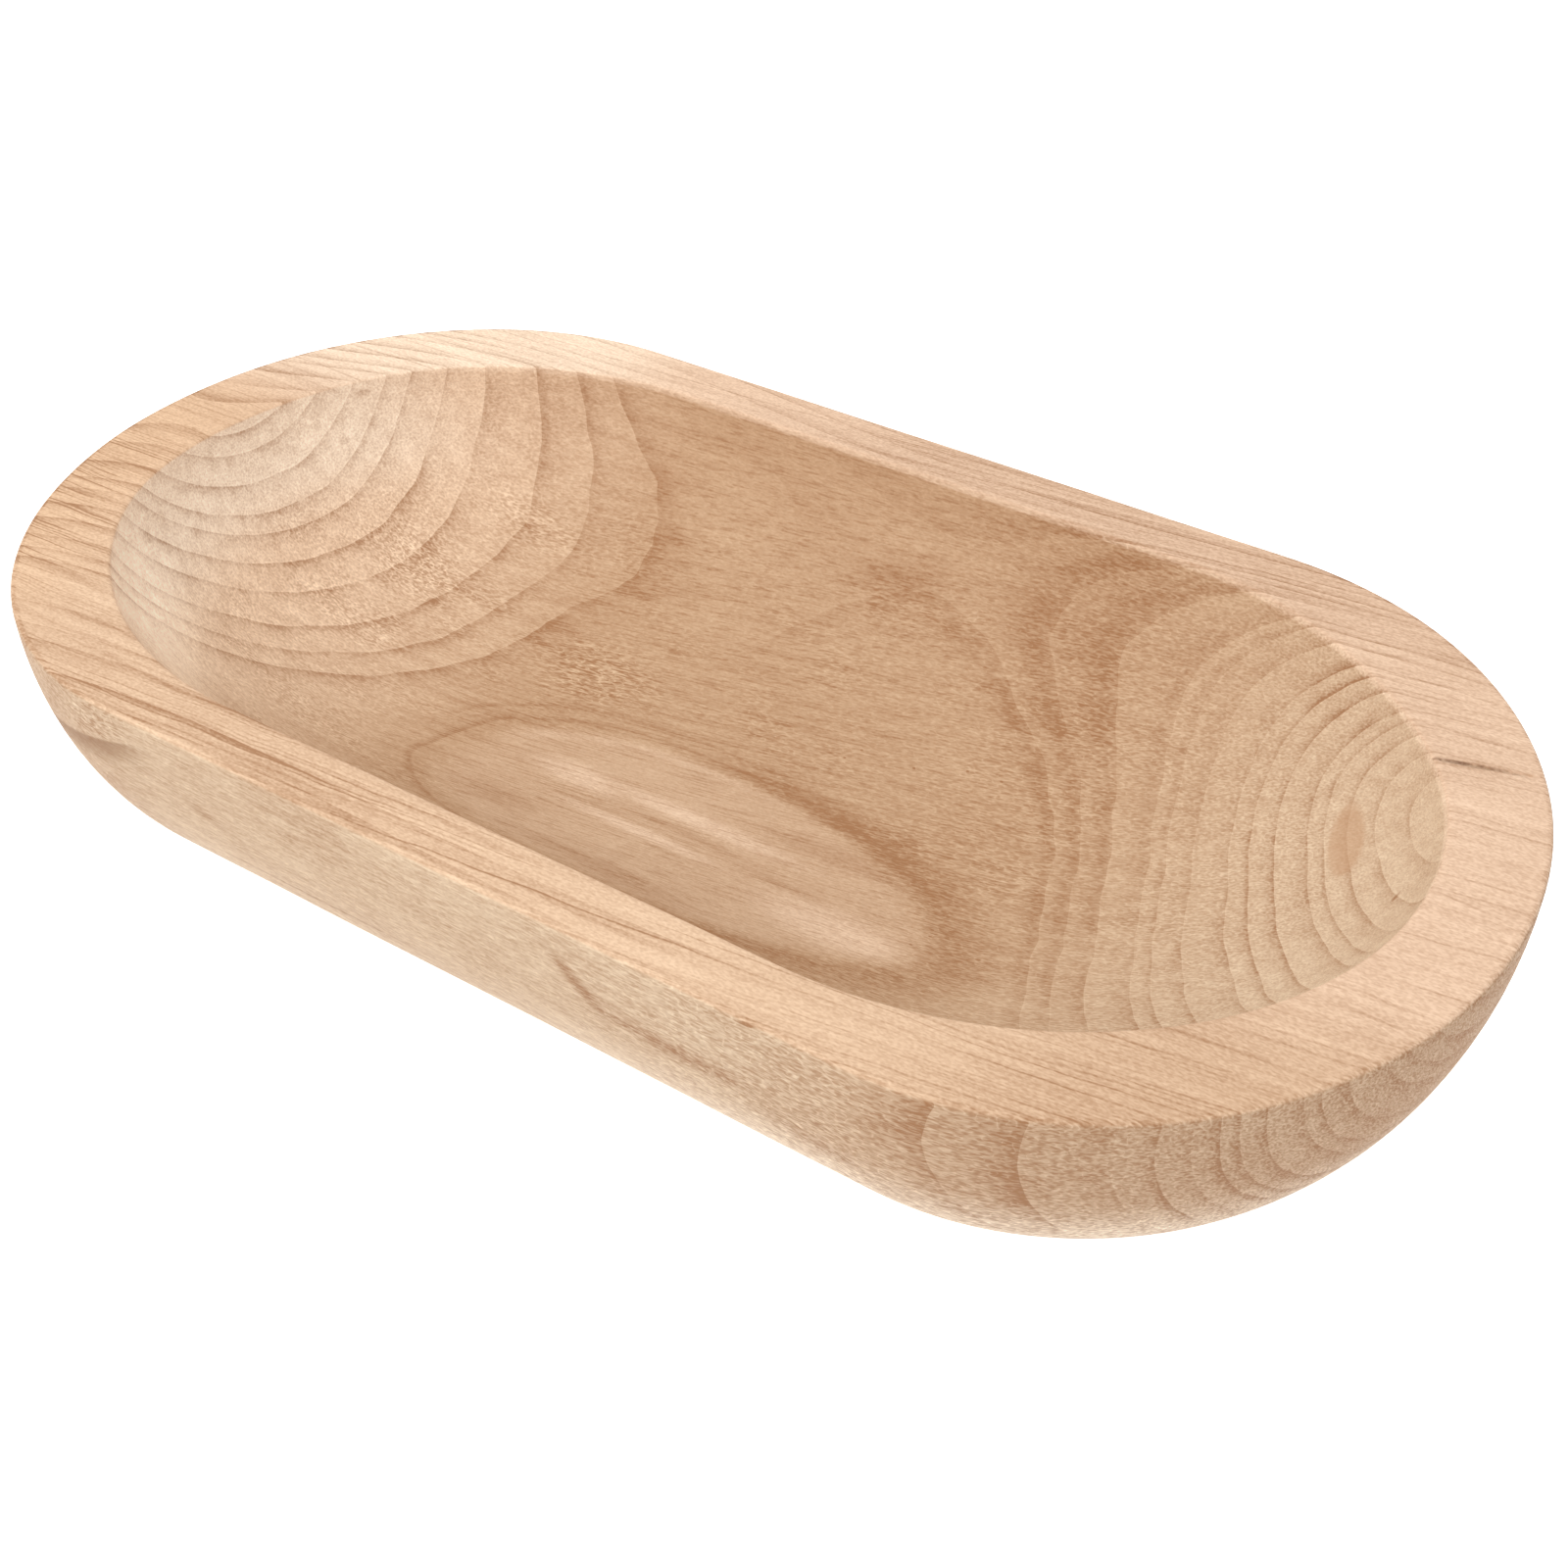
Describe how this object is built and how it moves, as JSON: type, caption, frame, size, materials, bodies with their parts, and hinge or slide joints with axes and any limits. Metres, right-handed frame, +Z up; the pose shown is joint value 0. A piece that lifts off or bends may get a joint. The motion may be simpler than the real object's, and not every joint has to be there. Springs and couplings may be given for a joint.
{
  "type": "dough bowl",
  "caption": "Long carved wooden dough bowl with straight sides, round ends, a broad flat rim, a smooth deep hollow and a flat base.",
  "frame": {"origin": "middle of the flat base, on the surface the bowl rests on", "axes": "+X along the bowl towards one tip, +Y across it, +Z up out of the hollow"},
  "size_m": [0.46, 0.25, 0.072],
  "materials": {
    "bowl": "bare pale wood, sanded smooth and unvarnished"
  },
  "bodies": {
    "root": {"bowl": "bowl"}
  },
  "joints": []
}
